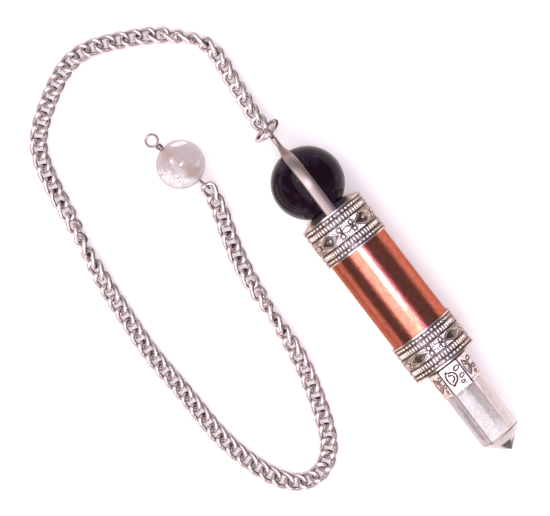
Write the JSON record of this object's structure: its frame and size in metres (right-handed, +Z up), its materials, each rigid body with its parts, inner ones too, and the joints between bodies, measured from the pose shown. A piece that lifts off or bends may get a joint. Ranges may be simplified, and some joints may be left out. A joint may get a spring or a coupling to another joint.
{
  "type": "dowsing pendulum pendant",
  "caption": "Pendulum with a copper tube between embossed silver caps, a dark stone ball under a strap bail, a quartz point, and a curb chain ending in a clear grip bead.",
  "frame": {"origin": "on the floor under the middle of the laid-out pendulum, at the centre of its bounding box's base", "axes": "+X along the barrel towards the quartz point, +Y towards the barrel's side of the layout, +Z up from the floor"},
  "size_m": [0.1145, 0.0537, 0.0158],
  "materials": {
    "cap_silver": "antiqued silver plate on embossed brass, dark in the recesses",
    "dark_stone": "polished, almost black with purple depth",
    "copper": "polished copper with a slightly mottled surface",
    "quartz": "polished clear quartz with cloudy veils",
    "chain_silver": "bright silver plate",
    "bead_quartz": "polished clear quartz"
  },
  "bodies": {
    "root": {"bail_cap": "cap_silver", "ball_stone": "dark_stone", "copper_tube": "copper", "point_socket": "cap_silver", "crystal_point": "quartz", "jump_ring": "chain_silver", "chain": "chain_silver", "bead_wire": "chain_silver", "grip_bead": "bead_quartz"}
  },
  "joints": []
}
